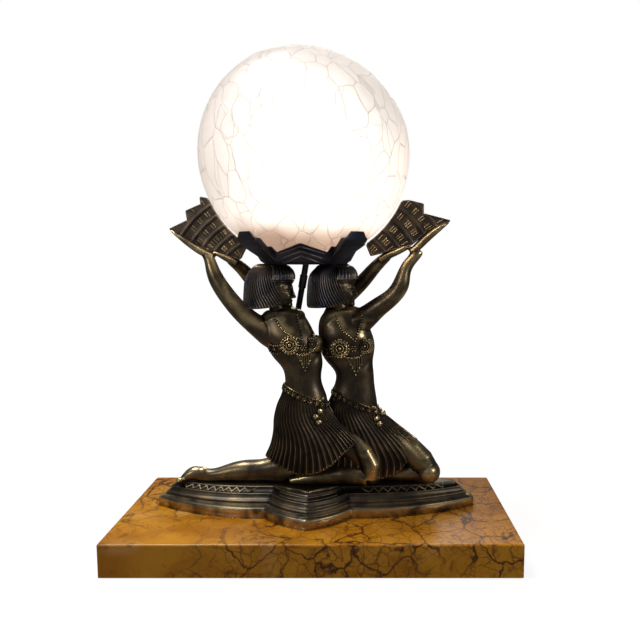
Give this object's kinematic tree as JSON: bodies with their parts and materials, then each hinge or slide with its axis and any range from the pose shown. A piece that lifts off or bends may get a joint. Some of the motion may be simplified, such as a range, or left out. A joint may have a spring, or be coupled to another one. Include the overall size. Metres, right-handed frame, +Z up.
{
  "type": "table_lamp",
  "caption": "Figural bronze table lamp: kneeling dancers with fans carry a crackle-glass globe on a petal cup, over a stepped plinth and a yellow marble slab.",
  "frame": {"origin": "middle of the footprint, on the table under the baize pad", "axes": "+X to the right as the lamp is viewed, -Y towards the viewer, +Z up"},
  "size_m": [0.38, 0.2, 0.481],
  "materials": {
    "patinated_bronze": "satin",
    "yellow_marble": "polished",
    "crackle_glass": "frosted",
    "clear_glass": "polished",
    "green_baize": "matte",
    "black_tube": "satin",
    "brass_fittings": "satin",
    "steel_screws": "satin",
    "white_porcelain": "gloss",
    "aluminium_cap": "satin",
    "black_rubber": "matte",
    "grey_felt": "matte",
    "tungsten": "satin"
  },
  "bodies": {
    "lamp_base": {"baize_pad": "green_baize", "cable_bush": "black_rubber", "cup_lock_nut": "brass_fittings", "cup_screws": "steel_screws", "cup_washer": "brass_fittings", "fan_pins": "steel_screws", "feed_tube_coupling": "black_tube", "feed_tube_lower": "black_tube", "feed_tube_upper": "black_tube", "figure_screws": "steel_screws", "globe_seat_ring": "grey_felt", "holder_base": "brass_fittings", "holder_contact": "brass_fittings", "holder_insulator": "white_porcelain", "holder_nipple": "brass_fittings", "holder_shell": "brass_fittings", "holder_sleeve": "brass_fittings", "left_fan": "patinated_bronze", "left_front_arm": "patinated_bronze", "left_front_leg": "patinated_bronze", "left_head": "patinated_bronze", "left_rear_arm": "patinated_bronze", "left_rear_leg": "patinated_bronze", "left_skirt": "patinated_bronze", "left_torso": "patinated_bronze", "marble_slab": "yellow_marble", "neck_dowels": "brass_fittings", "petal_cup": "patinated_bronze", "plinth_casting": "patinated_bronze", "right_fan": "patinated_bronze", "right_front_arm": "patinated_bronze", "right_front_leg": "patinated_bronze", "right_head": "patinated_bronze", "right_rear_arm": "patinated_bronze", "right_rear_leg": "patinated_bronze", "right_skirt": "patinated_bronze", "right_torso": "patinated_bronze", "shade_ring": "brass_fittings", "slab_screws": "steel_screws", "slab_washers": "steel_screws", "terminal_screws": "brass_fittings", "tube_foot_collar": "black_tube", "tube_lock_nut": "brass_fittings", "waist_studs": "steel_screws"},
    "globe": {"crackle_globe": "crackle_glass"},
    "bulb": {"bulb_glass": "clear_glass", "bulb_cap": "aluminium_cap", "bulb_tip": "aluminium_cap", "bulb_stem": "clear_glass", "bulb_filament": "tungsten"}
  },
  "joints": [
    {"name": "globe_lift", "type": "slide", "parent": "lamp_base", "child": "globe", "axis": [0, 0, 1], "range_m": [0, 0.13]},
    {"name": "bulb_unscrew", "type": "slide", "parent": "lamp_base", "child": "bulb", "axis": [0, 0, 1], "range_m": [0, 0.028]}
  ]
}
